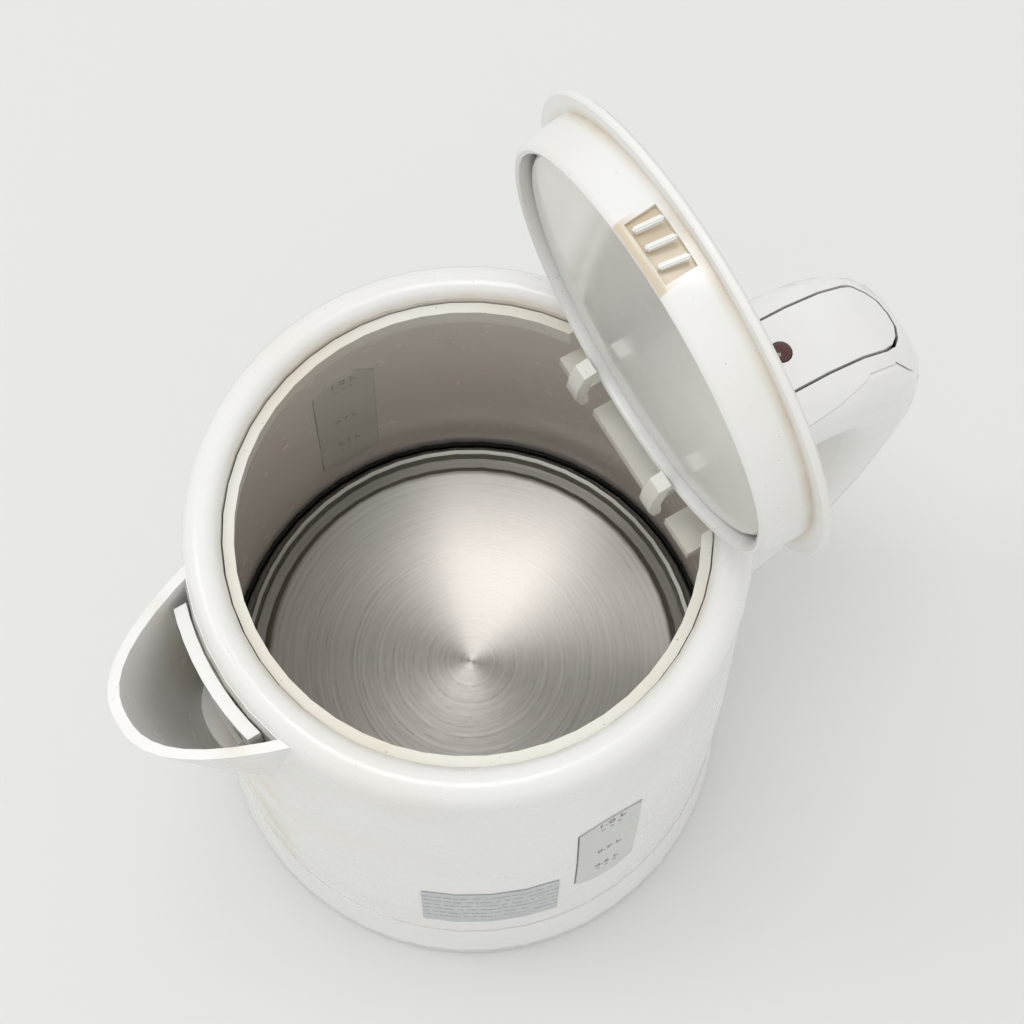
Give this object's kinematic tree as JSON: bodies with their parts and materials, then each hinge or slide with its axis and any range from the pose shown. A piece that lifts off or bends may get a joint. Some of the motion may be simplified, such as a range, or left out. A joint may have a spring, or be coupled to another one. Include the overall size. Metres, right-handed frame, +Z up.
{
  "type": "electric kettle",
  "caption": "Cordless white plastic electric kettle with its hinged lid open, steel heating plate, spout filter, fill windows and rocking switch.",
  "frame": {"origin": "centre of the bounding box at the surface the kettle stands on", "axes": "+Z up, +X towards the handle, -X towards the spout, +Y to the left seen from the handle"},
  "size_m": [0.213, 0.1446, 0.2801],
  "materials": {
    "white_plastic": "satin gloss",
    "ivory_plastic": "satin, slightly yellowed",
    "window_plastic": "translucent grey",
    "label_foil": "silver-grey foil",
    "filter_screen": "fine woven mesh",
    "brushed_steel": "circular brushed",
    "cast_aluminium": "cast",
    "black_rubber": "matt",
    "black_plastic": "matt",
    "red_lens": "clear dark red",
    "lamp_glass": "clear",
    "wire_sleeve": "woven glass sleeve"
  },
  "bodies": {
    "kettle": {"jug_shell": "white_plastic", "collar_ring": "ivory_plastic", "hinge_plate": "ivory_plastic", "level_window_left": "window_plastic", "level_window_right": "window_plastic", "rating_label": "label_foil", "heating_plate": "brushed_steel", "plate_gasket": "black_rubber", "plate_clamp_ring": "brushed_steel", "heat_diffuser": "cast_aluminium", "heating_element": "cast_aluminium", "thermostat_control": "black_plastic", "connector_socket": "black_plastic", "bottom_cover": "white_plastic", "foot_1": "black_rubber", "foot_2": "black_rubber", "foot_3": "black_rubber", "base_screw_1": "brushed_steel", "base_screw_2": "brushed_steel", "base_screw_3": "brushed_steel", "handle_grip": "white_plastic", "handle_top_cover": "white_plastic", "paddle_pin": "brushed_steel", "steam_switch": "black_plastic", "trip_pin": "brushed_steel", "neon_lamp": "lamp_glass", "handle_wires": "wire_sleeve", "lid_hinge_pin": "brushed_steel"},
    "lid": {"lid_cap": "white_plastic", "lid_inner_plate": "ivory_plastic", "lid_hook_left": "ivory_plastic", "lid_hook_right": "ivory_plastic"},
    "paddle": {"switch_paddle": "white_plastic", "lamp_lens": "red_lens"},
    "trip_lever_body": {"trip_lever": "black_plastic"},
    "filter": {"spout_filter_frame": "white_plastic", "filter_screen": "filter_screen"}
  },
  "joints": [
    {"name": "lid_hinge", "type": "hinge", "parent": "kettle", "child": "lid", "pos_m": [0.033, 0, 0.1748], "axis": [0, 1, 0], "range_deg": [-86.2, 3]},
    {"name": "paddle_rock", "type": "hinge", "parent": "kettle", "child": "paddle", "pos_m": [0.0731, 0, 0.164], "axis": [0, 1, 0], "range_deg": [0, 6]},
    {"name": "trip_lever_rock", "type": "hinge", "parent": "kettle", "child": "trip_lever_body", "pos_m": [0.0711, 0, 0.15], "axis": [0, 1, 0], "range_deg": [-6, 0]},
    {"name": "filter_lift", "type": "slide", "parent": "kettle", "child": "filter", "axis": [0, 0, 1], "range_m": [0, 0.06]}
  ],
  "couplings": [
    {"joint": "trip_lever_rock", "follows": "paddle_rock", "ratio": -1}
  ]
}
